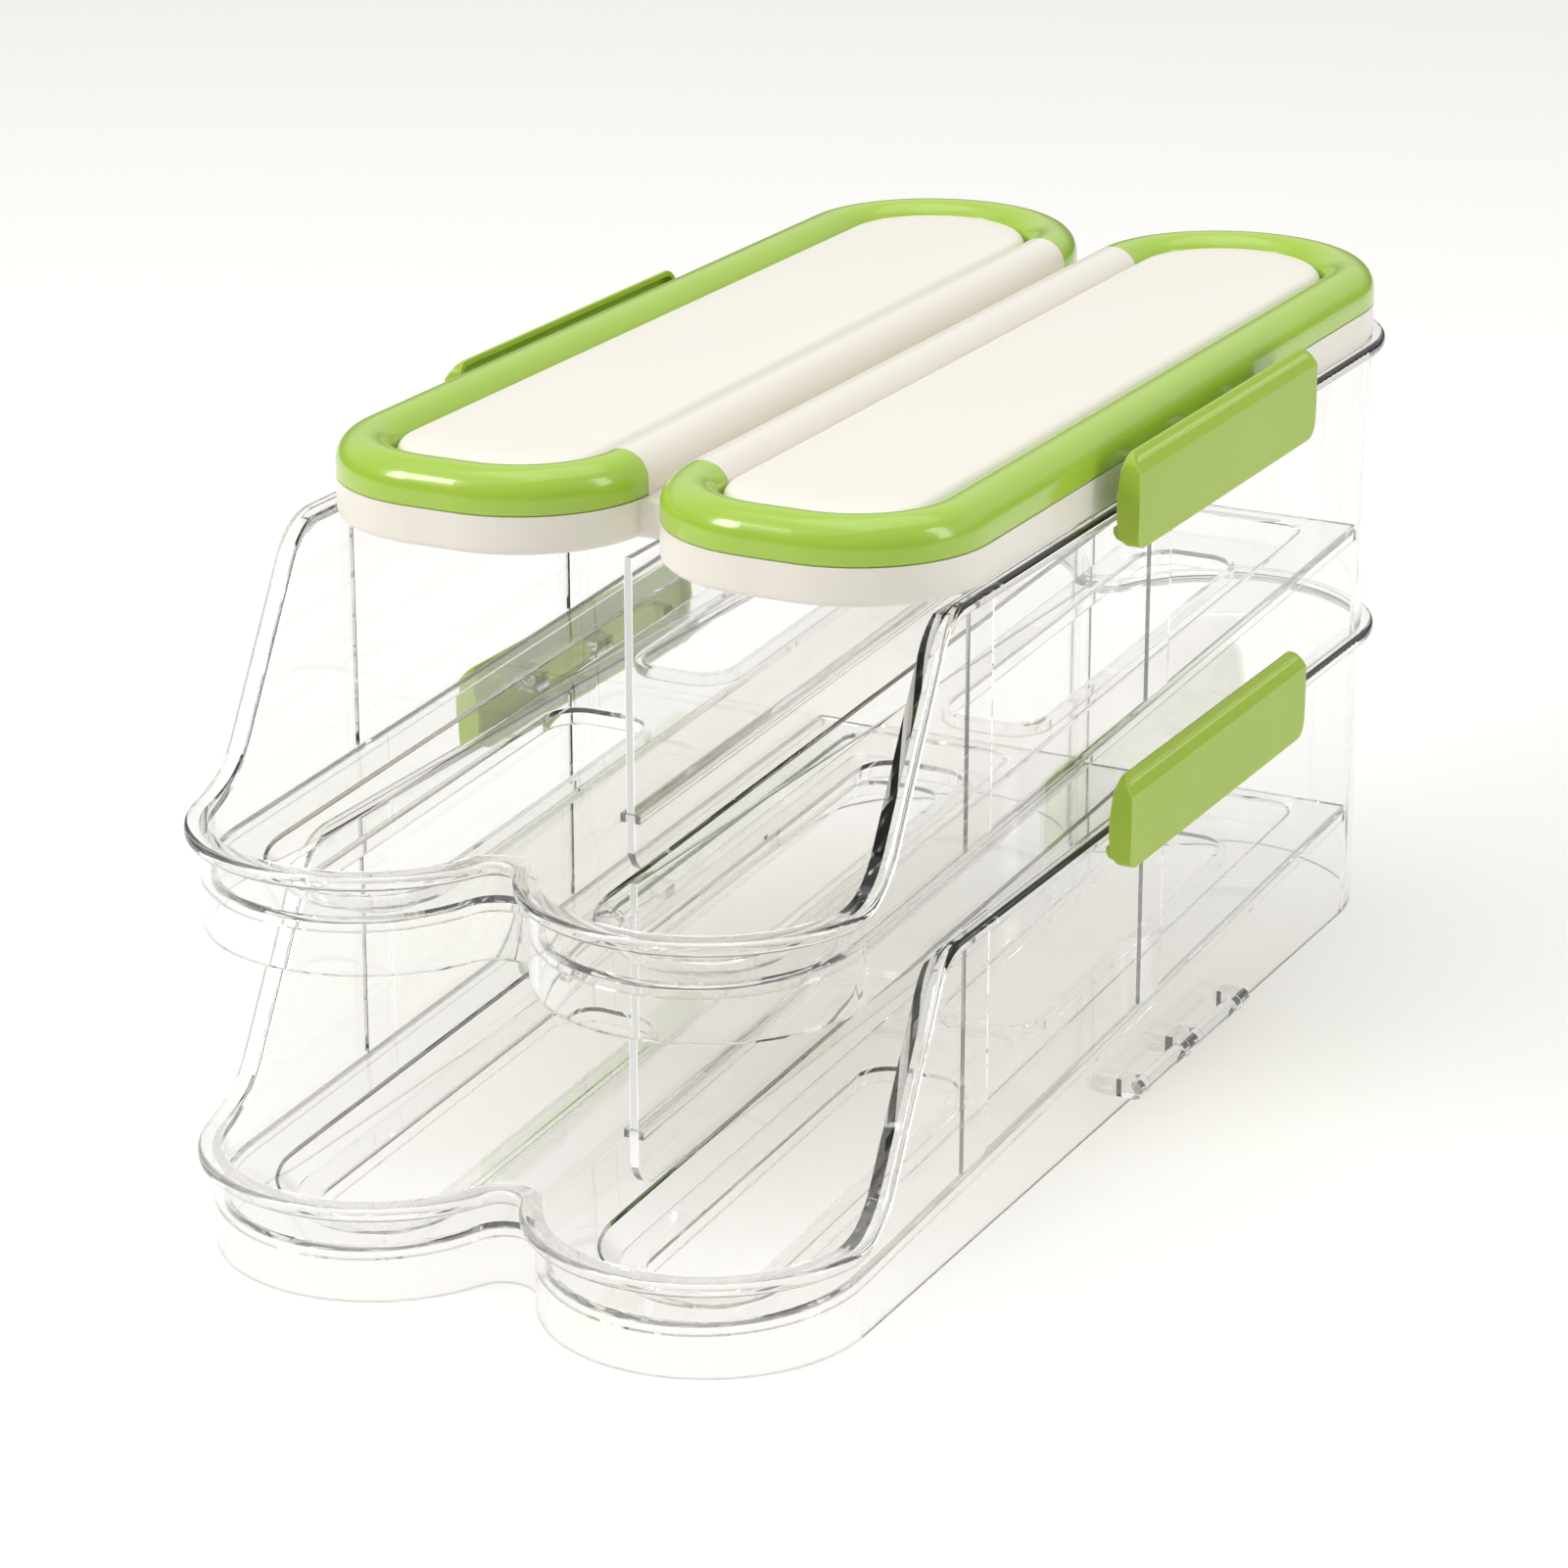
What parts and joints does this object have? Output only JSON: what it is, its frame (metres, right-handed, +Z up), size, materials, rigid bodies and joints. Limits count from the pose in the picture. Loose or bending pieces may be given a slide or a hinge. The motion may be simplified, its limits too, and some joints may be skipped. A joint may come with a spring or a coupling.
{
  "type": "rolling egg dispenser",
  "caption": "Stacked clear egg trays with sloping rolling lanes, low scooped fronts, a raised-rim lid and hinged side clips.",
  "frame": {"origin": "on the standing surface, in the middle of the lower tray's body", "axes": "+Z up, -Y is the front, towards which the eggs roll, and X runs across the two lanes"},
  "size_m": [0.1764, 0.3584, 0.1685],
  "materials": {
    "clear_tray": "clear moulded, polished",
    "clear_ramp": "clear moulded, polished",
    "green_clip": "soft gloss",
    "cream_lid": "soft gloss",
    "green_ring": "soft gloss",
    "cream_pad": "soft gloss"
  },
  "bodies": {
    "base": {"lower_tray": "clear_tray", "lower_ramp": "clear_ramp"},
    "upper": {"upper_tray": "clear_tray", "upper_ramp": "clear_ramp"},
    "lid": {"lid_base": "cream_lid", "lid_ring_left": "green_ring", "lid_ring_right": "green_ring", "lid_pad_left": "cream_pad", "lid_pad_right": "cream_pad"},
    "clip_lid_left": {"lid_clip_left": "green_clip"},
    "clip_lid_right": {"lid_clip_right": "green_clip"},
    "clip_tray_left": {"tray_clip_left": "green_clip"},
    "clip_tray_right": {"tray_clip_right": "green_clip"}
  },
  "joints": [
    {"name": "tray_lift", "type": "slide", "parent": "base", "child": "upper", "axis": [0, 0, 1], "range_m": [0, 0.01]},
    {"name": "lid_lift", "type": "slide", "parent": "upper", "child": "lid", "axis": [0, 0, 1], "range_m": [0, 0.01]},
    {"name": "lid_clip_right_swing", "type": "hinge", "parent": "lid", "child": "clip_lid_right", "pos_m": [0.082, 0.027, 0.1565], "axis": [0, -1, 0], "range_deg": [0, 40]},
    {"name": "lid_clip_left_swing", "type": "hinge", "parent": "lid", "child": "clip_lid_left", "pos_m": [-0.082, 0.027, 0.1565], "axis": [0, 1, 0], "range_deg": [0, 40]},
    {"name": "tray_clip_right_swing", "type": "hinge", "parent": "upper", "child": "clip_tray_right", "pos_m": [0.082, 0.027, 0.0815], "axis": [0, -1, 0], "range_deg": [0, 40]},
    {"name": "tray_clip_left_swing", "type": "hinge", "parent": "upper", "child": "clip_tray_left", "pos_m": [-0.082, 0.027, 0.0815], "axis": [0, 1, 0], "range_deg": [0, 40]}
  ],
  "couplings": [
    {"joint": "lid_clip_right_swing", "follows": "lid_lift", "rad_per_m": 69.8},
    {"joint": "lid_clip_left_swing", "follows": "lid_lift", "rad_per_m": 69.8},
    {"joint": "tray_clip_right_swing", "follows": "tray_lift", "rad_per_m": 69.8},
    {"joint": "tray_clip_left_swing", "follows": "tray_lift", "rad_per_m": 69.8}
  ]
}
